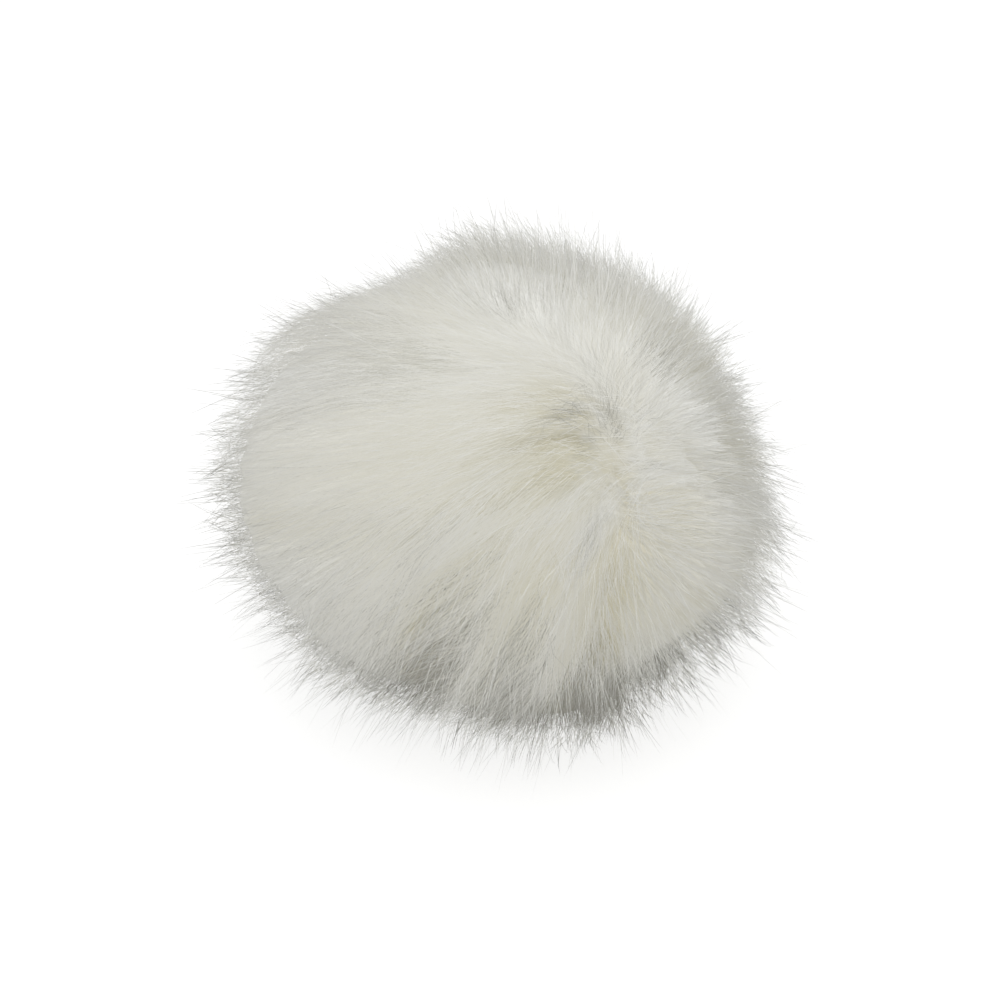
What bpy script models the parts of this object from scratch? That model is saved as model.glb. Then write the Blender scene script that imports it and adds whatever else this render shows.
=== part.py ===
"""A large faux fur pom pom, lying on the small flat spot where its pile is pressed.

The real thing is one disc of long pile fur, gathered and drawn shut into a ball. Its solid
is one body: a lumpy core, the matted underfur, whose faces are drawn out into three-sided
locks. Every lock is combed away from the crown of the ball by the same rule, so that
neighbours lean together and stay apart above their roots.

Metres, +Z up. The resting spot is at the origin, and +X is across the widest pile.
"""

import math
import random

import bmesh
import bpy
from mathutils import Quaternion, Vector

# The ball over its dense pile, and how much lower it would reach with nothing under it.
PILE_WIDTH = 0.130
PILE_DEPTH = 0.124
PILE_HEIGHT = 0.110
PRESSED = 0.006

# The core of matted underfur, as a share of the pile's radius. Its lower part is drawn
# down to a flat foot, between two heights on a ball of radius 1.
CORE_SHARE = 0.70
FOOT_START = -0.30
FOOT_FLAT = -0.80

# The crown that the pile lies away from, and how far a lock leans by its tip. The lean
# fades from full to none between two heights on a ball of radius 1.
CROWN_AZIMUTH = math.radians(-39.0)
CROWN_ELEVATION = math.radians(44.0)
COMB_TURN = math.radians(33.0)
COMB_FULL = 0.40
COMB_NONE = -1.20

# The locks, one on each face of the core that isn't in the foot. A lock's length is a
# share of the way from the core to the end of the pile.
CORE_SUBDIVISIONS = 3
ROOT_JITTER = 0.0018
LENGTH_SPREAD = 0.05
LENGTH_STEP = 0.02
SHORTEST_LOCK = 0.30
LOWEST_LOCK = -0.82
FLOOR_CLEARANCE = 0.0004
LOCK_PROFILE = (
    # share of the lock's length, share of its root's width
    (0.25, 0.82),
    (0.55, 0.66),
    (0.82, 0.40),
    (1.00, 0.10),
)

# Lumps and hollows of the pile, as they lie around the ball.
LUMPS = (
    # azimuth, elevation and width in degrees, rise as a share of the radius
    (176.0, 4.0, 24.0, 0.070),  # left lobe
    (200.0, -23.0, 9.0, -0.110),  # notch under the left lobe
    (213.0, -32.0, 12.0, 0.035),  # lobe under the notch
    (236.0, -44.0, 16.0, -0.080),  # dip at the lower front
    (300.0, -44.0, 18.0, 0.055),  # bulge at the lower front
    (345.0, -18.0, 16.0, 0.060),  # lobe at the lower right
    (15.0, 15.0, 24.0, -0.055),  # flatter right flank
    (131.0, 41.0, 13.0, -0.115),  # shoulder behind the crown's far side
    (160.0, 24.0, 14.0, 0.040),  # lobe at the upper left
    (259.0, 18.0, 11.0, -0.060),  # hollow in the front
    (345.0, 27.0, 8.0, -0.050),  # hollow on the right
)

# Troughs where the pile is parted, each as it runs from one place to another.
TROUGHS = (
    # from azimuth, elevation, to azimuth, elevation, width in degrees, depth as a share
    (260.0, 24.0, 247.0, -14.0, 8.0, 0.110),  # down the front
    (297.0, 12.0, 283.0, -26.0, 7.0, 0.070),  # at the lower right of it
)

FUR_COLOUR = (0.80, 0.79, 0.70, 1.0)
SEED = 12


def direction(azimuth, elevation):
    level = math.cos(elevation)
    return Vector(
        (level * math.cos(azimuth), level * math.sin(azimuth), math.sin(elevation))
    )


HALF_SIZE = Vector((PILE_WIDTH, PILE_DEPTH, PILE_HEIGHT + PRESSED)) / 2
CENTRE = Vector((0, 0, PILE_HEIGHT - HALF_SIZE.z))
CROWN = direction(CROWN_AZIMUTH, CROWN_ELEVATION)


def smoothstep(start, end, value):
    share = min(max((value - start) / (end - start), 0.0), 1.0)
    return share * share * (3 - 2 * share)


def trough_depth(way):
    """How much lower the pile lies in the troughs, as a share of its radius."""
    depth = 0.0
    for azimuth, elevation, to_azimuth, to_elevation, width, deepest in TROUGHS:
        start = direction(math.radians(azimuth), math.radians(elevation))
        end = direction(math.radians(to_azimuth), math.radians(to_elevation))
        along = (way - start).dot(end - start) / (end - start).length_squared
        nearest = start.lerp(end, min(max(along, 0.0), 1.0))
        apart = way.angle(nearest)
        depth += deepest * math.exp(-((apart / math.radians(width)) ** 2))
    return depth


def pile_radius(way):
    """The distance from the centre to the ends of the dense pile."""
    scaled = Vector(way[k] / HALF_SIZE[k] for k in range(3))
    rise = 1.0 - trough_depth(way)
    for azimuth, elevation, width, height in LUMPS:
        apart = way.angle(direction(math.radians(azimuth), math.radians(elevation)))
        rise += height * math.exp(-((apart / math.radians(width)) ** 2))
    return rise / scaled.length


def pile_point(way):
    point = CENTRE + way * pile_radius(way)
    point.z = max(point.z, 0.0)
    return point


def core_point(way):
    """A point of the core, whose lower part is drawn down to a flat foot."""
    point = CENTRE + way * pile_radius(way) * CORE_SHARE
    point.z *= 1 - smoothstep(FOOT_START, FOOT_FLAT, way.z)
    return point


def combed(way, share):
    """The way in which a hair rooted at the given way points, at a share of its length."""
    strength = smoothstep(COMB_NONE, COMB_FULL, way.z)
    lean = COMB_TURN * strength * (way * CROWN.dot(way) - CROWN)
    if lean.length == 0:
        return way.copy()
    turn = Quaternion(way.cross(lean).normalized(), lean.length * share)
    return turn @ way


def pile_place(way, share):
    """Where a point of a lock lies, from its root at share 0 to the pile's end at share 1."""
    leaning = combed(way, share)
    return core_point(leaning).lerp(pile_point(leaning), share)


def lock_ring(ways, share, scale):
    middle = sum(ways, Vector()) / len(ways)
    return [
        pile_place((middle + (way - middle) * scale).normalized(), share)
        for way in ways
    ]


def lock_length(ways, wanted):
    """The longest share of the pile, up to the wanted one, that stays off the floor."""
    length = wanted
    while length > SHORTEST_LOCK:
        rings = [lock_ring(ways, length * along, wide) for along, wide in LOCK_PROFILE]
        if min(point.z for ring in rings for point in ring) > FLOOR_CLEARANCE:
            return length
        length -= LENGTH_STEP
    return 0.0


def clear_scene():
    for thing in list(bpy.data.objects):
        bpy.data.objects.remove(thing, do_unlink=True)


def fur_material():
    material = bpy.data.materials.new("ivory_fur")
    material.use_nodes = True
    surface = material.node_tree.nodes["Principled BSDF"]
    surface.inputs["Base Color"].default_value = FUR_COLOUR
    surface.inputs["Roughness"].default_value = 0.85
    surface.inputs["Metallic"].default_value = 0.0
    return material


def draw_lock(bm, face, ways, length):
    """Draws one face of the core out into a lock, a ring at a time."""
    for share, scale in LOCK_PROFILE:
        face = bmesh.ops.extrude_discrete_faces(bm, faces=[face])["faces"][0]
        ring = lock_ring(ways, length * share, scale)
        for corner, place in zip(face.verts, ring):
            corner.co = place


def fur_ball():
    """The whole ball: its core, with a lock drawn out of each face above the foot."""
    chance = random.Random(SEED)
    bm = bmesh.new()
    bmesh.ops.create_icosphere(bm, subdivisions=CORE_SUBDIVISIONS, radius=1.0)
    jitter = ROOT_JITTER / (CORE_SHARE * HALF_SIZE.x)
    for vertex in bm.verts:
        push = Vector(chance.uniform(-jitter, jitter) for _ in range(3))
        vertex.co = (vertex.co + push).normalized()
    ways = {vertex: vertex.co.copy() for vertex in bm.verts}
    roots = []
    for face in bm.faces:
        corners = [ways[vertex] for vertex in face.verts]
        wanted = 1 + chance.uniform(-LENGTH_SPREAD, LENGTH_SPREAD)
        length = lock_length(corners, wanted)
        if length > 0 and min(corner.z for corner in corners) > LOWEST_LOCK:
            roots.append((face, corners, length))
    for vertex in bm.verts:
        vertex.co = core_point(ways[vertex])
    for face, corners, length in roots:
        draw_lock(bm, face, corners, length)
    print(len(roots), "locks")
    bmesh.ops.recalc_face_normals(bm, faces=bm.faces)
    mesh = bpy.data.meshes.new("fur_ball")
    bm.to_mesh(mesh)
    bm.free()
    for polygon in mesh.polygons:
        polygon.use_smooth = True
    ball = bpy.data.objects.new("fur_ball", mesh)
    bpy.context.collection.objects.link(ball)
    ball.data.materials.append(fur_material())
    return ball


clear_scene()
fur_ball()
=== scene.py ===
"""A large faux fur pom pom: a soft ball of long, combed, ivory-white acrylic pile.

The dense underfur comes first, then the long pile that lies over it, the short pile that
stands up through that, and the stiff guard hairs. The table and the studio come last.
Metres, +Z up, with the pom pom's resting spot at the origin.
"""

import math

import bpy
import numpy as np
from mathutils.kdtree import KDTree
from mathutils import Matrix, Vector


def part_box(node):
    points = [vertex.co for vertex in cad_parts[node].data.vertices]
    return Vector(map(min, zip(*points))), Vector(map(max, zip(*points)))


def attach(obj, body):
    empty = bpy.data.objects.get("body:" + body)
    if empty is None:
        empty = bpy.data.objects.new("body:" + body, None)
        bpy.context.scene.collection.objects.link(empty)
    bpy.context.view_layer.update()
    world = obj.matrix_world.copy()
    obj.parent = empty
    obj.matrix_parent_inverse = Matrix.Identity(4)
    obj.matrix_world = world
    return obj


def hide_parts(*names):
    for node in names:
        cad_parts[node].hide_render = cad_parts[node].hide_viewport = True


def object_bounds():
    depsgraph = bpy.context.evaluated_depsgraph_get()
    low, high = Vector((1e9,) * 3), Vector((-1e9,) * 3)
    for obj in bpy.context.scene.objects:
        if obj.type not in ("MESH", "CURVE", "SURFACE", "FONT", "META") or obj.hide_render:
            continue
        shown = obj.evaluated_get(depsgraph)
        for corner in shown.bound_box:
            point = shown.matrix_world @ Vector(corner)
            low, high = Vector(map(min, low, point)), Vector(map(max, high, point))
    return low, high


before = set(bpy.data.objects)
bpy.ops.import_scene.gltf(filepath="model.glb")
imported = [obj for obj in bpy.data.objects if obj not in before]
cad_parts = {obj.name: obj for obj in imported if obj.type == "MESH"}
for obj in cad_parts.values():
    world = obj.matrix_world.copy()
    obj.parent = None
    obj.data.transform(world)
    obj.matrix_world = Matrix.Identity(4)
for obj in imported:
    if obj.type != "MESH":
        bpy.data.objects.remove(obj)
cad_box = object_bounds()
ball_high = np.array(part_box("fur_ball")[1])


# The underfur: the short, dense acrylic pile of a knitted fur cloth, gathered along its
# edge and drawn shut over stuffing into a ball. It is too close to see into, so it is one
# soft skin, with the lie of the fur, its troughs and its locks in the surface.
PILE_SIZE = (0.1300, 0.1240, 0.1160)
PILE_SPARE = 1.03
pile_half = np.array(PILE_SIZE) / 2 * PILE_SPARE
centre = np.array([0, 0, ball_high[2] - pile_half[2]])
UNDERFUR_SHARE = (0.862, 0.905)
UNDERFUR_SUBDIVISIONS = 7
WIDE_LOCK = (0.0060, 0.0060, 0.030)
FINE_LOCK = (0.0025, 0.0025, 0.016)
TONE_PATCH = (0.011, 0.011, 0.060)
FLOOR_BEND = 0.003
CROWN_FROM = (314.0, 49.0)
CROWN_TO = (301.0, 41.0)
CROWN_RING = 0.16
CROWN_OPEN = 0.5

PILE_LUMPS = (
    # azimuth, elevation and width in degrees, rise as a share of the radius
    (176.0, 4.0, 24.0, 0.070),  # left lobe
    (200.0, -23.0, 9.0, -0.110),  # notch under the left lobe
    (213.0, -32.0, 12.0, 0.035),  # lobe under the notch
    (236.0, -44.0, 16.0, -0.080),  # dip at the lower front
    (300.0, -44.0, 18.0, 0.055),  # bulge at the lower front
    (345.0, -18.0, 16.0, 0.060),  # lobe at the lower right
    (15.0, 15.0, 24.0, -0.055),  # flatter right flank
    (131.0, 41.0, 13.0, -0.115),  # shoulder behind the crown's far side
    (160.0, 24.0, 14.0, 0.040),  # lobe at the upper left
    (100.0, 52.0, 15.0, 0.055),  # lobe at the top
    (259.0, 18.0, 11.0, -0.060),  # hollow in the front
    (345.0, 27.0, 8.0, -0.040),  # hollow on the right
)

BRUSH_STROKES = (
    # azimuth, elevation and width of the place in degrees, heading in degrees where
    # 0 is up, 90 to the right and 270 to the left, strength
    (190.0, 54.0, 35.0, 227.0, 1.00),  # upper left, down and left
    (265.0, 44.0, 29.0, 228.0, 0.80),  # left of the crown, down and left
    (241.0, 23.0, 27.0, 118.0, 0.49),  # left of the front trough, drawn in
    (238.0, 32.0, 14.0, 299.0, 0.58),  # above it, swept left
    (306.0, 24.0, 29.0, 0.0, 0.53),  # right of the front, up
    (320.0, -30.0, 27.0, 102.0, 0.56),  # lower right, swept right
    (256.0, 4.0, 26.0, 180.0, 1.30),  # front, straight down
)

PARTINGS = (
    # from azimuth, elevation, to azimuth, elevation, width in degrees, push, depth
    (260.0, 24.0, 247.0, -14.0, 6.0, 0.60, 0.140),  # trough down the front
    (297.0, 12.0, 283.0, -26.0, 5.0, 0.50, 0.090),  # parting at the lower right
    (303.0, 50.0, 276.0, 50.0, 3.2, 0.40, 0.030),  # parting left of the crown
    (305.0, 58.0, 268.0, 64.0, 3.0, 0.35, 0.025),  # parting above it
    (284.0, 43.0, 253.0, 30.0, 3.2, 0.40, 0.030),  # parting below it
    (342.0, 29.0, 350.0, 14.0, 5.0, 0.35, 0.050),  # parting on the right
    (199.0, 9.0, 246.0, 31.0, 5.0, 0.40, 0.035),  # fold in the left
)

UPRIGHT_PLACES = (
    # azimuth, elevation and width in degrees, how much less the pile lies over there
    (350.0, 32.0, 40.0, 0.90),  # right of the crown
    (70.0, 70.0, 38.0, 0.85),  # top
    (325.0, -18.0, 32.0, 0.70),  # lower right
    (275.0, -34.0, 26.0, 0.40),  # lower front
)

LOOSE_PLACES = (
    # azimuth, elevation and width in degrees, how far the fur falls apart into locks
    (285.0, 45.0, 30.0, 0.9),  # left of the crown
    (268.0, 10.0, 30.0, 0.8),  # front
    (292.0, -20.0, 30.0, 0.9),  # lower front
)

SMOOTH_PLACES = (
    # azimuth, elevation and width in degrees, how far the long pile is lost in the underfur
    (208.0, 42.0, 52.0, 0.94),  # left
    (165.0, 74.0, 36.0, 0.88),  # top left
    (330.0, 62.0, 30.0, 0.75),  # above the crown
    (262.0, 52.0, 22.0, 0.55),  # left of the crown
    (343.0, 34.0, 26.0, 0.75),  # right
)


def unit(vectors):
    return vectors / (np.linalg.norm(vectors, axis=-1, keepdims=True) + 1e-12)


def way_to(azimuth, elevation):
    """The unit vector from the middle of the ball to a place given in degrees."""
    turn, rise = math.radians(azimuth), math.radians(elevation)
    level = math.cos(rise)
    return np.array([level * math.cos(turn), level * math.sin(turn), math.sin(rise)])


crown_middle = unit(way_to(*CROWN_FROM) + way_to(*CROWN_TO))


def nearness(ways, azimuth, elevation, width):
    """1 at a place on the ball, falling to nothing a width in degrees or so from it."""
    apart = np.arccos(np.clip(ways @ way_to(azimuth, elevation), -1, 1))
    return np.exp(-((apart / math.radians(width)) ** 2))


def smoothstep(start, end, value):
    share = np.clip((value - start) / (end - start), 0, 1)
    return share * share * (3 - 2 * share)


def ripple(places, sizes, seed):
    """A smooth random number, mostly from -1 to 1, that changes over sizes in metres."""
    chance = np.random.default_rng(seed)
    waves = chance.normal(size=(14, 3)) / np.array(sizes)
    starts = chance.uniform(0, 2 * math.pi, 14)
    return np.sin(places @ waves.T + starts).sum(-1) / math.sqrt(14)


def pile_reach(ways):
    """How far the dense pile reaches from the middle of the ball, lumps and all."""
    rise = 1
    for azimuth, elevation, width, height in PILE_LUMPS:
        rise = rise + height * nearness(ways, azimuth, elevation, width)
    return rise / np.linalg.norm(ways / pile_half, axis=-1)


def looseness(ways):
    """How far the fur falls apart into locks, from 0.15 to about 1."""
    loose = 0.15
    for azimuth, elevation, width, more in LOOSE_PLACES:
        loose = np.maximum(loose, 0.15 + more * nearness(ways, azimuth, elevation, width))
    return loose


def smoothness(ways):
    """How far single fibres are lost in the dense fur, from 0.2 to about 0.9."""
    smooth = 0.2
    for azimuth, elevation, width, more in SMOOTH_PLACES:
        smooth = np.maximum(smooth, more * nearness(ways, azimuth, elevation, width))
    return smooth


def lying(ways):
    """How far the fur lies over: how much further it runs along the ball than it rises.

    It is combed flat beside the crown, and stands out again on the far side of the ball.
    """
    flat = 1 / (0.16 + 0.85 * smoothstep(0.1, -0.8, ways @ crown_middle))
    for azimuth, elevation, width, less in UPRIGHT_PLACES:
        flat = flat * (1 - less * nearness(ways, azimuth, elevation, width))
    return flat


def away_from_crown(ways):
    """Tangents away from the crown, the line from which the pile is brushed apart."""
    start, end = way_to(*CROWN_FROM), way_to(*CROWN_TO)
    along = np.clip((ways - start) @ (end - start) / ((end - start) @ (end - start)), 0, 1)
    crown = unit(start + along[..., None] * (end - start))
    return (ways * crown).sum(-1, keepdims=True) * ways - crown


def flow(ways):
    """The way in which the pile lies at each place, as a tangent about 1 long."""
    away = away_from_crown(ways)
    length = np.linalg.norm(away, axis=-1, keepdims=True)
    away = away * (1 + CROWN_OPEN) / (CROWN_OPEN + length)
    up = np.array([0, 0, 1.0])
    north = unit(up - ways[..., 2:] * ways + 1e-9)
    east = np.cross(north, ways)
    for azimuth, elevation, width, turn, strength in BRUSH_STROKES:
        near = strength * nearness(ways, azimuth, elevation, width)[..., None]
        turn = math.radians(turn)
        away = away + near * (math.cos(turn) * north + math.sin(turn) * east)
    return away


def moved_along(ways, tangents):
    """Ways moved along tangents, by as many radians as the tangents are long."""
    length = np.linalg.norm(tangents, axis=-1, keepdims=True) + 1e-9
    return ways * np.cos(length) + tangents / length * np.sin(length)


def combed_places(ways):
    """Where a place lies in the combed fur: x and y round the crown, z along the lie.

    Each place is followed back along the lie of the pile, to a ring about the crown.
    """
    at, along = ways, np.zeros(len(ways))
    for _ in range(80):
        from_crown = np.linalg.norm(away_from_crown(at), axis=-1)
        from_crown = np.where(at @ unit(way_to(*CROWN_FROM)) < 0, 1, from_crown)
        stride = 0.05 * smoothstep(CROWN_RING, CROWN_RING + 0.08, from_crown)
        at = moved_along(at, -unit(flow(at)) * stride[:, None])
        along += stride
    left = unit(np.cross(crown_middle, [0, 0, 1.0]))
    up = np.cross(left, crown_middle)
    round_crown = np.stack([at @ left, at @ up], -1) * 3.0
    return np.concatenate([round_crown, along[:, None]], -1) * pile_half[0]


def kept_off_floor(points, thick):
    """Points that would be under the floor, or just over it, bent out level on it."""
    depth = points[..., 2] - thick
    bend = np.exp(np.minimum(depth - FLOOR_BEND, 0) / FLOOR_BEND)
    lifted = np.where(depth < FLOOR_BEND, FLOOR_BEND * bend, depth)
    outward = points[..., :2] - centre[:2]
    reach = np.linalg.norm(outward, axis=-1, keepdims=True) + 1e-9
    spread = outward / reach * (lifted - depth)[..., None] * 0.5
    points = points.copy()
    points[..., :2] += spread
    points[..., 2] = lifted + thick
    return points


def parted(ways):
    """Ways pushed aside at each parting, and how much lower the pile lies there."""
    lowered = np.zeros(ways.shape[:-1])
    for azimuth, elevation, to_azimuth, to_elevation, width, push, depth in PARTINGS:
        start, end = way_to(azimuth, elevation), way_to(to_azimuth, to_elevation)
        middle = unit(start + end)
        across = unit(np.cross(start, end))
        along = np.cross(across, middle)
        half = math.acos(start @ end) / 2
        width = math.radians(width)
        aside = ways @ across
        ahead = np.abs(ways @ along)
        facing = ways @ middle > 0
        within = facing * np.exp(-np.maximum(ahead - half, 0) ** 2 / (1.5 * width) ** 2)
        near = within * np.exp(-((aside / width) ** 2))
        lowered += depth * near
        ways = unit(ways + across * (push * aside * near)[..., None])
    return ways, lowered


def select_only(piece):
    bpy.ops.object.select_all(action="DESELECT")
    piece.select_set(True)
    bpy.context.view_layer.objects.active = piece


bpy.ops.object.select_all(action="DESELECT")
bpy.ops.mesh.primitive_ico_sphere_add(
    subdivisions=UNDERFUR_SUBDIVISIONS, radius=1, calc_uvs=False
)
underfur = bpy.context.object
underfur.name = "underfur"
skin_ways = np.empty((len(underfur.data.vertices), 3))
underfur.data.vertices.foreach_get("co", skin_ways.ravel())
skin_ways = unit(skin_ways)
skin_comb = combed_places(skin_ways)
skin_loose = looseness(skin_ways)
wide_locks = ripple(skin_comb, WIDE_LOCK, 3)
fine_locks = ripple(skin_comb, FINE_LOCK, 4)
skin_lock = 0.65 * wide_locks + 0.35 * fine_locks
skin_low = parted(skin_ways)[1]
skin_flat = np.clip(1.19 - 1.18 / lying(skin_ways), 0, 1)
skin_share = UNDERFUR_SHARE[0] + (UNDERFUR_SHARE[1] - UNDERFUR_SHARE[0]) * skin_flat
skin_share -= 0.090 * smoothstep(0.1, -0.6, skin_ways[:, 2])
skin_share += skin_loose * (0.014 * skin_lock - 0.020) - skin_low
skin_share += 0.009 * (1 - 0.8 * skin_loose) * fine_locks
skin_room = 1 - skin_low - skin_share - 0.045 * smoothstep(-0.35, -0.70, skin_ways[:, 2])
skin_points = skin_ways * (pile_reach(skin_ways) * skin_share)[:, None]
skin_points = kept_off_floor(skin_points + centre, 0)
skin_points[:, 2] -= skin_points[:, 2].min()
underfur.data.vertices.foreach_set("co", skin_points.ravel())
underfur.data.update()
select_only(underfur)
bpy.ops.object.shade_smooth()

creamy = nearness(skin_ways, 282.0, 56.0, 34.0) + 0.55 * nearness(skin_ways, 250.0, 15.0, 30.0)
skin_gap = skin_loose * smoothstep(0.1, -0.9, skin_lock - 14 * skin_low)
skin_cream = np.clip(0.05 + creamy * (0.35 + 0.60 * skin_gap) + 9 * skin_low, 0, 1)
skin_band = ripple(skin_comb, TONE_PATCH, 5)
skin_cream = np.clip(skin_cream + (0.08 + 0.30 * skin_band) * skin_flat, 0, 1)
# Painted shade, carried by the underfur and the strands: the fur is darker towards the bottom,
# at the lower right, in the partings and along darker bands where it lies flat.
painted_fur_shade = 0.50 * smoothstep(0.0, -0.75, skin_ways[:, 2])
painted_fur_shade += 0.34 * nearness(skin_ways, 330.0, -32.0, 26.0)
painted_fur_shade += 0.2 * nearness(skin_ways, 297.0, -8.0, 14.0) + 0.8 * skin_low
painted_fur_shade += 0.25 * skin_flat * smoothstep(0.0, -1.5, skin_band)
skin_smooth = smoothness(skin_ways)
# Painted shade on the underfur: the fur's painted shade, a little more on the smooth skin
# where the fur lies flat, and more between the loose locks.
skin_painted_shade = 0.14 * skin_flat * smoothstep(0.1, 0.8, skin_smooth) + 1.1 * painted_fur_shade
skin_painted_shade = np.clip((skin_painted_shade + 0.45 * skin_loose) / 1.6, 0, 1)
cream_layer = underfur.data.attributes.new("cream", "FLOAT", "POINT")
cream_layer.data.foreach_set("value", skin_cream.astype(np.float32))
painted_shade_layer = underfur.data.attributes.new("painted_shade", "FLOAT", "POINT")
painted_shade_layer.data.foreach_set("value", skin_painted_shade.astype(np.float32))
comb_layer = underfur.data.attributes.new("comb", "FLOAT_VECTOR", "POINT")
comb_layer.data.foreach_set("vector", skin_comb.ravel().astype(np.float32))


def from_hex(colour):
    """A linear colour from an sRGB hex value."""
    parts = [int(colour[k : k + 2], 16) / 255 for k in (1, 3, 5)]
    linear = [p / 12.92 if p <= 0.04045 else ((p + 0.055) / 1.055) ** 2.4 for p in parts]
    return (*linear, 1.0)


def add_node(material, kind, links=(), **settings):
    """Adds a node, sets its properties or its sockets, and links sockets into it."""
    tree = material.node_tree
    node = tree.nodes.new(kind)
    for name, value in settings.items():
        if hasattr(node, name):
            setattr(node, name, value)
        else:
            node.inputs[name.replace("_", " ")].default_value = value
    for socket, source in links:
        tree.links.new(source, node.inputs[socket])
    return node


def new_material(name):
    material = bpy.data.materials.new(name)
    material.use_nodes = True
    material.node_tree.nodes.clear()
    return material


def finish_material(material, surface):
    add_node(material, "ShaderNodeOutputMaterial", [("Surface", surface.outputs["BSDF"])])


# Dense acrylic underfur: fine, matt fibres packed side by side, which scatter the light
# and look soft and evenly pale. Their streaks follow the comb, 0.7 mm apart, which is
# coarser than the fibres so that they show. The gaps are a warm ivory, the locks white,
# and a painted shade greys the skin towards the bottom, at the lower right, in the
# partings, between the loose locks and a little on the smooth skin where the fur lies flat.
STREAK_APART = 0.00070
STREAK_DEEP = 0.0003
dense = new_material("dense_acrylic_underfur")
dense_comb = add_node(dense, "ShaderNodeAttribute", attribute_name="comb")
dense_drawn = add_node(
    dense,
    "ShaderNodeVectorMath",
    [(0, dense_comb.outputs["Vector"])],
    operation="MULTIPLY",
)
dense_drawn.inputs[1].default_value = (1.0, 1.0, 0.05)
dense_streaks = add_node(
    dense,
    "ShaderNodeTexNoise",
    [("Vector", dense_drawn.outputs["Vector"])],
    Scale=1 / STREAK_APART,
    Detail=3.0,
)
dense_cream = add_node(dense, "ShaderNodeAttribute", attribute_name="cream")
dense_colour = add_node(
    dense,
    "ShaderNodeMix",
    [(0, dense_cream.outputs["Fac"])],
    data_type="RGBA",
)
dense_colour.inputs[6].default_value = from_hex("#D9D9D5")
dense_colour.inputs[7].default_value = from_hex("#C7C2AC")
dense_streak = add_node(
    dense,
    "ShaderNodeMapRange",
    [("Value", dense_streaks.outputs["Fac"])],
    From_Min=0.3,
    From_Max=0.7,
    To_Min=0.92,
    To_Max=1.04,
)
dense_streaked = add_node(
    dense,
    "ShaderNodeVectorMath",
    [(0, dense_colour.outputs[2]), (3, dense_streak.outputs["Result"])],
    operation="SCALE",
)
# Painted shade from the underfur's attribute, from white down to a grey.
dense_painted_shade_attribute = add_node(dense, "ShaderNodeAttribute", attribute_name="painted_shade")
dense_painted_shade_ramp = add_node(dense, "ShaderNodeValToRGB", [("Fac", dense_painted_shade_attribute.outputs["Fac"])])
dense_painted_shade_ramp.color_ramp.elements[0].color = (1, 1, 1, 1)
dense_painted_shade_ramp.color_ramp.elements[1].color = from_hex("#8F8D86")
dense_painted_shade_ramp.color_ramp.elements.new(0.62).color = from_hex("#BCBBB6")
dense_painted_shaded = add_node(
    dense,
    "ShaderNodeVectorMath",
    [(0, dense_streaked.outputs["Vector"]), (1, dense_painted_shade_ramp.outputs["Color"])],
    operation="MULTIPLY",
)
dense_bump = add_node(
    dense,
    "ShaderNodeBump",
    [("Height", dense_streaks.outputs["Fac"])],
    Strength=0.35,
    Distance=STREAK_DEEP,
)
dense_surface = add_node(
    dense,
    "ShaderNodeBsdfPrincipled",
    [
        ("Base Color", dense_painted_shaded.outputs["Vector"]),
        ("Normal", dense_bump.outputs["Normal"]),
    ],
    Roughness=0.8,
    Specular_IOR_Level=0.2,
    Sheen_Weight=0.05,
    Sheen_Roughness=0.5,
)
finish_material(dense, dense_surface)
underfur.data.materials.append(dense)
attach(underfur, "root")
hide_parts("fur_ball")


# The long pile: straight acrylic fibres that lie over the underfur and gather into locks.
# Their roots are ivory and a little darker, partly as painted shade, and their ends are
# white. A fibre of 0.05 mm is too fine to show, so each is drawn as thick as two or three
# together.
PILE_STRANDS = 13400
PILE_POINTS = 4
PILE_THICK = 0.00011
PILE_TAPER = (0.8, 1.0, 0.75)
PILE_FLAT = 0.80
PILE_LEAN = (0.09, 0.14)
PILE_SWING = math.radians(5)
STRAY_SHARE = 0.04
LOCKS = 300
LOCK_SWING = math.radians(9)
LOCK_RISE = 0.060
LOCKLETS = 3200
LOCKLET_SWING = math.radians(3)
LOCKLET_WAVE = 0.030
TONE_BANDS = 32


def spread_over_ball(count, seed, jitter=0.5):
    """Places spread evenly over the ball, each moved a little at random."""
    chance = np.random.default_rng(seed)
    turn = np.arange(count) * math.pi * (3 - math.sqrt(5))
    height = 1 - 2 * (np.arange(count) + 0.5) / count
    level = np.sqrt(1 - height**2)
    ways = np.stack([level * np.cos(turn), level * np.sin(turn), height], -1)
    spacing = math.sqrt(4 * math.pi / count)
    return unit(ways + chance.normal(size=ways.shape) * spacing * jitter)


def nearest(ways, places):
    """The index of the place nearest to each way."""
    tree = KDTree(len(places))
    for index, place in enumerate(places):
        tree.insert(place, index)
    tree.balance()
    return np.array([tree.find(way)[1] for way in ways])


def swung(tangents, ways, angles):
    """Tangents turned about the ways they stand on."""
    angles = angles[..., None]
    return tangents * np.cos(angles) + np.cross(ways, tangents) * np.sin(angles)


def laid(ways, lean, swing):
    """Where the ends of strands rooted at these places come to lie."""
    lean = lean * lying(ways)
    return moved_along(ways, swung(flow(ways), ways, swing) * lean[:, None])


def rooted_under(ends, lean, swing):
    """Where strands must be rooted for their ends to lie at these places."""
    roots = ends
    for _ in range(12):
        roots = unit(roots + 0.7 * (ends - laid(roots, lean, swing)))
    return roots


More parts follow.
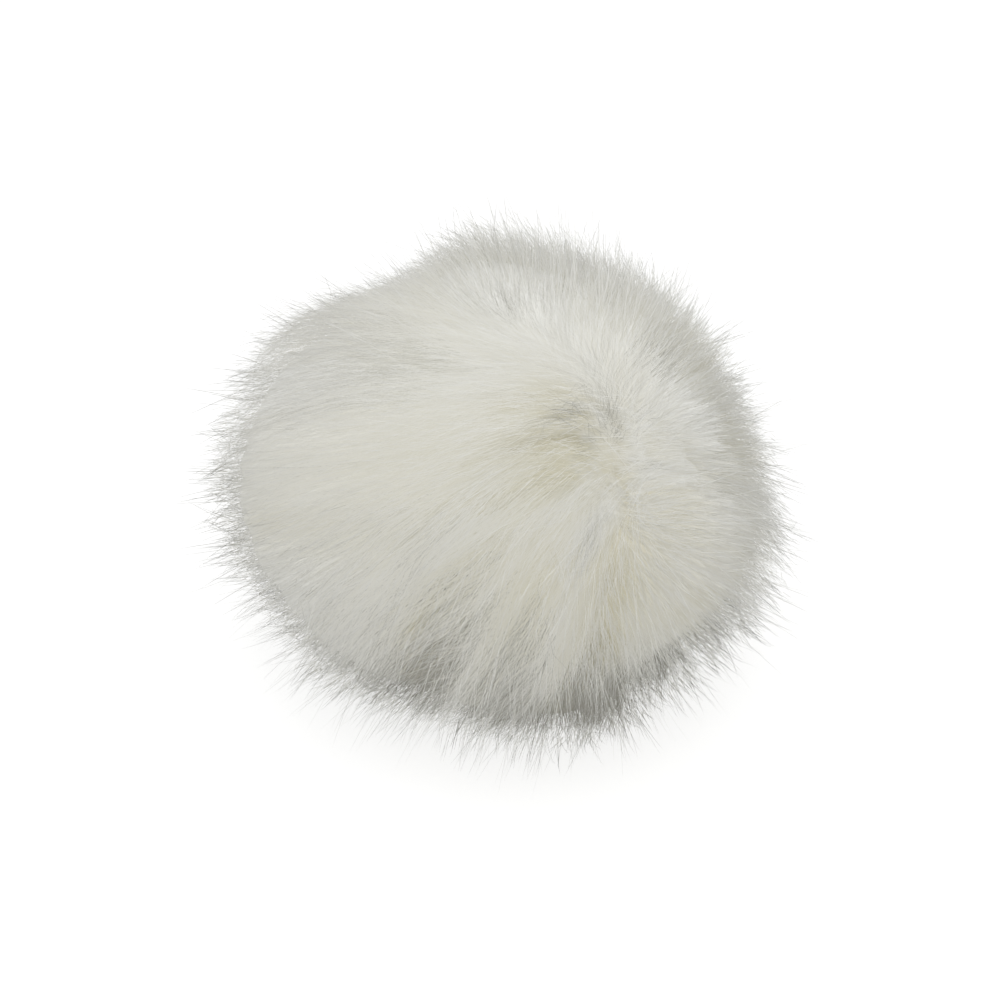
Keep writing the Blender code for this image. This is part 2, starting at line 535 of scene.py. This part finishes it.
def strand_paths(roots, lean, swing, above, gather):
    """The points of each strand, from its root in the underfur to its tip above it."""
    lean = lean * lying(roots)
    locks = spread_over_ball(LOCKS, 11)
    locklets = spread_over_ball(LOCKLETS, 12)
    lock = nearest(roots, locks)
    locklet = nearest(roots, locklets)
    chance = np.random.default_rng(13)
    loose = looseness(roots)
    lock_swing = chance.normal(0, LOCK_SWING, LOCKS)[lock] * loose
    lock_level = chance.uniform(0, LOCK_RISE, LOCKS)[lock] * loose
    locklet_swing = chance.normal(0, LOCKLET_SWING, LOCKLETS)[locklet]
    swing = swing + lock_swing + locklet_swing
    wave = np.random.default_rng(14).normal(0, LOCKLET_WAVE, LOCKLETS)[locklet]
    start = np.random.default_rng(15).uniform(0, 2 * math.pi, LOCKS)[lock]
    pull = 0.85 * gather * loose
    points = []
    for step in np.linspace(0, 1, PILE_POINTS):
        ways = unit(
            roots
            + (locks[lock] - roots) * (0.60 * pull * step**1.3)[:, None]
            + (locklets[locklet] - roots) * (0.40 * pull * step**1.3)[:, None]
        )
        tangents = swung(flow(ways), ways, swing * step)
        sideways = np.cross(ways, unit(tangents))
        sideways = sideways * (wave * np.sin(start + 4.5 * step))[:, None]
        ways = moved_along(ways, tangents * (lean * step**1.1)[:, None] + sideways * step)
        ways = parted(ways)[0]
        under = skin_share[nearest(ways, skin_ways)]
        share = under - 0.04 * (1 - step) + (above + lock_level) * step
        points.append(centre + ways * (pile_reach(ways) * share)[:, None])
    return np.stack(points, 1)


def strand_mesh(name, paths, thick, flat, taper, tone, soften, seed):
    """One mesh of three-sided strands, closed at both ends, with a map of root to tip.

    A strand's normals lean out from the ball, because light passes through and between
    real fibres, and shades a lock of them as one soft thing.
    """
    count, rings = paths.shape[0], paths.shape[1] - 1
    each = rings * 3 + 1
    ahead = unit(np.gradient(paths, axis=1))
    outward = unit(paths - centre)
    side = unit(np.cross(ahead, outward))
    inward = np.cross(ahead, side)
    around = np.random.default_rng(seed).uniform(-0.3, 0.3, (count, 1, 1))
    around = around - math.pi / 2 + np.arange(3) * 2 * math.pi / 3
    spoke = (
        np.cos(around)[..., None] * side[:, :rings, None]
        + np.sin(around)[..., None] * inward[:, :rings, None] * flat
    )
    width = thick[:, None, None, None] / 2 * np.array(taper)[None, :rings, None, None]
    rim = (paths[:, :rings, None] + spoke * width).reshape(count, -1, 3)
    points = np.concatenate([rim, paths[:, -1:]], axis=1).reshape(-1, 3)
    shown = unit(unit(spoke) * (1 - soften) + outward[:, :rings, None] * soften)
    normals = np.concatenate(
        [shown.reshape(count, -1, 3), outward[:, -1:]], axis=1
    ).reshape(-1, 3)

    corner = np.arange(3)
    after = (corner + 1) % 3
    spans = range(rings - 1)
    quads = [
        np.stack([3 * r + corner, 3 * r + after, 3 * r + 3 + after, 3 * r + 3 + corner], -1)
        for r in spans
    ]
    last = 3 * (rings - 1)
    tips = np.stack([last + corner, last + after, np.full(3, each - 1)], -1)
    faces = [*np.concatenate(quads), *tips, np.array([2, 1, 0])]
    across = corner / 3
    beyond = across + 1 / 3
    quad_map = [
        np.stack([np.stack([[r, r, r + 1, r + 1]] * 3) / rings,
                  np.stack([across, beyond, beyond, across], -1)], -1)
        for r in spans
    ]
    tip_map = np.stack([np.stack([[rings - 1, rings - 1, rings]] * 3) / rings,
                        np.stack([across, beyond, across + 1 / 6], -1)], -1)
    root_map = np.array([[[0, 0.1], [0, 0.9], [0.02, 0.5]]])
    places = [*np.concatenate(quad_map), *tip_map, *root_map]

    starts = np.arange(count)[:, None] * each
    loops = (np.concatenate(faces)[None] + starts).ravel()
    sizes = np.tile([len(face) for face in faces], count)
    mesh = bpy.data.meshes.new(name)
    mesh.vertices.add(len(points))
    mesh.vertices.foreach_set("co", points.ravel().astype(np.float32))
    mesh.loops.add(len(loops))
    mesh.loops.foreach_set("vertex_index", loops.astype(np.int32))
    mesh.polygons.add(len(sizes))
    mesh.polygons.foreach_set("loop_start", (np.cumsum(sizes) - sizes).astype(np.int32))
    mesh.update(calc_edges=True)
    mesh.polygons.foreach_set("use_smooth", np.ones(len(sizes), dtype=bool))
    mesh.normals_split_custom_set_from_vertices(normals)

    band = np.clip((tone * TONE_BANDS).astype(int), 0, TONE_BANDS - 1)[:, None]
    u, v = np.concatenate(places).T
    v = (band + 0.1 + 0.8 * v[None]) / TONE_BANDS
    u = np.broadcast_to(0.01 + 0.98 * u, v.shape)
    layer = mesh.uv_layers.new(name="OFBake")
    layer.data.foreach_set("uv", np.stack([u, v], -1).ravel().astype(np.float32))
    piece = bpy.data.objects.new(name, mesh)
    bpy.context.collection.objects.link(piece)
    return piece


def tone_and_painted_shade(roots, skin_near, seed):
    """The tone of each strand: 0 is a grey painted shade, 0.3 a cool white and 1 a warm ivory.
    It carries the underfur's painted shade, and strands in the smooth places are made cooler
    and greyer.
    """
    chance = np.random.default_rng(seed)
    tone = 0.32 + 0.50 * skin_cream[skin_near] + chance.normal(0, 0.06, len(roots))
    lock_tone = np.random.default_rng(16).normal(0, 0.38, LOCKS)
    tone += lock_tone[nearest(roots, spread_over_ball(LOCKS, 11))] * looseness(roots)
    # Painted shade: strands in the smooth places are made cooler and greyer.
    tone *= 1 - 0.4 * smoothstep(0.3, 0.75, skin_smooth)[skin_near]
    return np.clip(np.minimum(tone, 1 - 1.9 * painted_fur_shade[skin_near]), 0.0, 0.999)


def fur_material(name, cool, warm, roughness):
    """Acrylic fibre, coloured from root to tip, and from cool to warm strands, and greyed by a
    painted shade where the tone is under 0.3.

    It has no glint of its own, so that many fibres read as one soft surface.
    """
    material = new_material(name)
    place = add_node(material, "ShaderNodeUVMap", uv_map="OFBake")
    parts = add_node(material, "ShaderNodeSeparateXYZ", [("Vector", place.outputs["UV"])])
    ramps = []
    for root, middle, tip in (cool, warm):
        ramp = add_node(material, "ShaderNodeValToRGB", [("Fac", parts.outputs["X"])])
        stops = ramp.color_ramp.elements
        stops[0].position, stops[0].color = 0.15, from_hex(root)
        stops[1].position, stops[1].color = 0.90, from_hex(tip)
        between = stops.new(0.55)
        between.color = from_hex(middle)
        ramps.append(ramp)
    colour = add_node(
        material,
        "ShaderNodeMix",
        [
            (0, parts.outputs["Y"]),
            (6, ramps[0].outputs["Color"]),
            (7, ramps[1].outputs["Color"]),
        ],
        data_type="RGBA",
    )
    # Painted shade: tones under 0.3 grey the fibre down to this colour.
    painted_shade = add_node(material, "ShaderNodeValToRGB", [("Fac", parts.outputs["Y"])])
    painted_shade.color_ramp.elements[0].color = from_hex("#A09E95")
    painted_shade.color_ramp.elements[1].position = 0.3
    shaded = add_node(
        material,
        "ShaderNodeVectorMath",
        [(0, colour.outputs[2]), (1, painted_shade.outputs["Color"])],
        operation="MULTIPLY",
    )
    surface = add_node(
        material,
        "ShaderNodeBsdfPrincipled",
        [("Base Color", shaded.outputs["Vector"])],
        Roughness=roughness,
        Specular_IOR_Level=0.0,
    )
    finish_material(material, surface)
    return material


# Brushed acrylic pile: fine fibres combed straight, which look silky and milky white at
# their ends, ivory where the light goes down between them, and a little darker at their
# roots as painted shade.
pile_fur = fur_material(
    "brushed_acrylic_pile",
    ("#CDCDC6", "#D6D6D3", "#D6D6D4"),
    ("#BBB69E", "#C2BEAA", "#C7C5B8"),
    0.55,
)
for name, seed in (("pile_a", 31), ("pile_b", 32), ("pile_c", 33)):
    chance = np.random.default_rng(seed)
    ends = spread_over_ball(PILE_STRANDS, seed, jitter=0.9)
    skin_near = nearest(ends, skin_ways)
    bare = np.maximum(0.35 * skin_gap, 0.85 * (skin_smooth - 0.2))[skin_near]
    bare = chance.random(len(ends)) < bare
    kept = (ends[:, 2] > -0.96) & ~bare
    ends, skin_near = ends[kept], skin_near[kept]
    count = len(ends)
    lean = chance.uniform(*PILE_LEAN, count)
    swing = chance.normal(0, PILE_SWING, count)
    stray = chance.random(count) < STRAY_SHARE + 1.2 * skin_low[skin_near]
    swing[stray] *= 5
    roots = rooted_under(ends, lean, swing)
    above = 0.010 + skin_room[skin_near] * chance.beta(2.4, 1.6, count)
    above[stray] += 0.015
    paths = strand_paths(roots, lean, swing, above, chance.uniform(0.2, 0.9, count))
    fine = 1 - 0.45 * smoothstep(0.2, 0.6, skin_smooth[skin_near])
    piece = strand_mesh(
        name,
        kept_off_floor(paths, PILE_THICK),
        PILE_THICK * fine * chance.uniform(0.75, 1.2, count),
        PILE_FLAT,
        PILE_TAPER,
        tone_and_painted_shade(roots, skin_near, seed),
        1.0,
        seed,
    )
    piece.data.materials.append(pile_fur)
    # Real fibres let most light through, so these cast no shadow on one another.
    piece.visible_shadow = piece.visible_diffuse = False
    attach(piece, "root")
    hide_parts("fur_ball")


# The short upright pile: acrylic fibres cut shorter, that stand up through the long ones
# and make the edge of the ball soft. 4 to 9 mm of each is drawn.
SHORT_STRANDS = 17500
SHORT_THICK = 0.00010
SHORT_TAPER = (1.0, 0.8)
SHORT_FLAT = 0.7
SHORT_STAND = (0.004, 0.009)

# Sheared acrylic pile: blunt ends that are white round the crown, and painted grey further
# down, as painted shade where they stand against the light.
short_fur = fur_material(
    "sheared_acrylic_pile",
    ("#CDCCC5", "#BFBFBB", "#A3A3A0"),
    ("#D0CFC7", "#D6D6D2", "#DCDCDA"),
    0.55,
)
for name, seed in (("short_pile_a", 51), ("short_pile_b", 52)):
    chance = np.random.default_rng(seed)
    ends = spread_over_ball(SHORT_STRANDS, seed, jitter=0.9)
    skin_near = nearest(ends, skin_ways)
    bare = np.maximum(0.8 * (skin_smooth - 0.2), 0.8 * (skin_loose - 0.3))[skin_near]
    bare = chance.random(len(ends)) < bare
    kept = (ends[:, 2] > -0.96) & ~bare
    ends, skin_near = ends[kept], skin_near[kept]
    count = len(ends)
    stand = chance.uniform(*SHORT_STAND, count)[:, None]
    tilt = np.minimum(lying(ends), 2.5) * chance.uniform(0.5, 1.1, count)
    heading = unit(
        ends + unit(flow(ends)) * tilt[:, None] + chance.normal(0, 0.22, (count, 3))
    )
    above = 0.02 + (0.03 + skin_room[skin_near]) * chance.beta(1.4, 1.8, count)
    reach = pile_reach(ends) * (skin_share[skin_near] + above)
    tips_at = centre + ends * reach[:, None]
    steps = np.array([1, 0.45, 0])[None, :, None]
    paths = tips_at[:, None] - heading[:, None] * stand[:, None] * steps
    # Painted shade: the ends are white round the crown and grey elsewhere, and greyer still
    # where the fur is shaded.
    painted_lightness = nearness(ends, 320.0, 60.0, 60.0) + chance.normal(0, 0.15, count)
    tone = np.minimum(0.3 + 0.65 * painted_lightness, 1 - 1.9 * painted_fur_shade[skin_near])
    piece = strand_mesh(
        name,
        kept_off_floor(paths, SHORT_THICK),
        SHORT_THICK * chance.uniform(0.8, 1.2, count),
        SHORT_FLAT,
        SHORT_TAPER,
        np.clip(tone, 0, 0.99),
        1.0,
        seed,
    )
    piece.data.materials.append(short_fur)
    # These let light through in the same way.
    piece.visible_shadow = piece.visible_diffuse = False
    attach(piece, "root")
    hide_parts("fur_ball")


# The guard hairs: the stiffest acrylic fibres, spread thinly over the ball in groups of a
# few that draw together. Each is 6 mm long or more, and starts just inside the pile. Fewer
# of them stand on the side that faces the camera, where they are left white, as on top;
# elsewhere they are painted grey, as painted shade where they stand against the light.
GUARD_GROUPS = 2600
GUARD_THICK = 0.00009
GUARD_TAPER = (1.0, 0.9, 0.7)
GUARD_FLAT = 0.9
GUARD_SPREAD = 0.022
GUARD_SHORTEST = 0.006
GUARD_LONGER = 0.011
GUARD_ROOTED = 0.93
VIEW_ELEVATION = math.radians(40)

# Stiff acrylic guard hair: single fibres, greyed towards their tips by painted shade, so that
# they look like fine grey lines against the light.
guard_fur = fur_material(
    "stiff_acrylic_guard_hair",
    ("#C3C2BA", "#94948F", "#5C5C59"),
    ("#D2D1CB", "#D6D6D2", "#D9D9D6"),
    0.5,
)
chance = np.random.default_rng(61)
groups = spread_over_ball(GUARD_GROUPS, 61, jitter=0.9)
which = np.repeat(np.arange(GUARD_GROUPS), chance.integers(1, 5, GUARD_GROUPS))
roots = unit(groups[which] + chance.normal(0, GUARD_SPREAD, (len(which), 3)))
toward_view = roots @ np.array([0, -math.cos(VIEW_ELEVATION), math.sin(VIEW_ELEVATION)])
clear = 1 - 0.85 * smoothstep(0.3, 0.7, smoothness(roots))
clear *= 1 - 0.6 * smoothstep(0.3, 0.7, toward_view)
keep = (roots[:, 2] > -0.80) & (chance.random(len(roots)) < clear)
# Painted shade: hairs are left white where they face the camera, and greyed elsewhere.
painted_lightness = 1.1 * smoothstep(0.0, 0.5, toward_view)[keep]
roots, which = roots[keep], which[keep]
count = len(roots)
tilt = (0.30 + 0.5 * np.minimum(lying(roots), 2)) * chance.uniform(0.6, 1.2, count)
turn = np.random.default_rng(62).normal(0, 0.25, (GUARD_GROUPS, 3))[which]
heading = unit(roots + unit(flow(roots)) * tilt[:, None] + turn)
long = (GUARD_SHORTEST + GUARD_LONGER * chance.beta(1.5, 2.5, count)) * (1 + 0.35 * tilt)
long *= 1 - 0.35 * smoothstep(-0.2, -0.7, roots[:, 2])
start = centre + roots * (pile_reach(roots) * GUARD_ROOTED)[:, None]
low, high = (np.array(corner) for corner in cad_box)
spare = 0.009 + 0.03 * (high - low)
room = np.where(heading > 0, high + spare - start, start - low + spare)
long *= np.minimum(1, (room / np.abs(heading * long[:, None] * 1.12)).min(-1))
meet = centre + groups[which] * (pile_reach(groups[which]) * GUARD_ROOTED)[:, None] - start
bend = unit(flow(roots) + chance.normal(0, 0.5, (count, 3))) * 0.10
steps = np.linspace(0, 1, 4)[None, :, None]
ahead = (heading[:, None] * steps + bend[:, None] * steps**2) * long[:, None, None]
paths = start[:, None] + ahead + meet[:, None] * steps * 0.7
# Hairs on top are left whiter too, as painted light.
painted_lightness += nearness(roots, 330.0, 75.0, 50.0) + chance.normal(0, 0.25, count)
guard_hairs = strand_mesh(
    "guard_hairs",
    kept_off_floor(paths, GUARD_THICK),
    GUARD_THICK * chance.uniform(0.7, 1.2, count),
    GUARD_FLAT,
    GUARD_TAPER,
    np.clip(painted_lightness, 0, 0.99),
    0.3,
    61,
)
guard_hairs.data.materials.append(guard_fur)
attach(guard_hairs, "root")
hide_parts("fur_ball")


# The table under the pom pom, a sheet of matt white acrylic that is lit a little from
# below and so takes only a faint shadow, and the soft light of a white studio.
VIEW_DISTANCE = 0.66
LENS = 100
TABLE_SIZE = 6
TABLE_LOWER = 0.0002
TABLE_GLOW = 0.70
STUDIO_LIGHT = 0.90
bpy.ops.object.select_all(action="DESELECT")
bpy.ops.mesh.primitive_plane_add(size=TABLE_SIZE, location=(0, 0, -TABLE_LOWER))
table = bpy.context.object
table.name = "table"
# Backlit matt acrylic: even and without glare, so that the floor looks nearly white.
table_paint = new_material("backlit_white_acrylic")
finish_material(
    table_paint,
    add_node(
        table_paint,
        "ShaderNodeBsdfPrincipled",
        Base_Color=from_hex("#959594"),
        Roughness=0.9,
        Emission_Color=(1, 1, 1, 1),
        Emission_Strength=TABLE_GLOW,
    ),
)
table.data.materials.append(table_paint)

world = bpy.data.worlds.new("studio")
world.use_nodes = True
world.node_tree.nodes["Background"].inputs["Color"].default_value = (1, 1, 1, 1)
world.node_tree.nodes["Background"].inputs["Strength"].default_value = STUDIO_LIGHT
bpy.context.scene.world = world


def soft_light(name, place, size, power):
    """A square soft box that faces the pom pom."""
    lamp = bpy.data.lights.new(name, "AREA")
    lamp.size = size
    lamp.energy = power
    light = bpy.data.objects.new(name, lamp)
    bpy.context.collection.objects.link(light)
    light.location = place
    light.rotation_euler = light.location.to_track_quat("Z", "Y").to_euler()
    return light


soft_light("key", (0.0, -0.35, 1.4), 1.3, 10.5)

camera_data = bpy.data.cameras.new("camera")
camera_data.lens = LENS
camera_data.sensor_width = 36
camera = bpy.data.objects.new("camera", camera_data)
bpy.context.collection.objects.link(camera)
camera.location = (
    centre[0],
    centre[1] - VIEW_DISTANCE * math.cos(VIEW_ELEVATION),
    centre[2] + VIEW_DISTANCE * math.sin(VIEW_ELEVATION),
)
camera.rotation_euler = (math.pi / 2 - VIEW_ELEVATION, 0, 0)
camera_data.shift_x = -0.005
camera_data.shift_y = -0.010
bpy.context.scene.camera = camera
bpy.context.scene.view_settings.view_transform = "Standard"
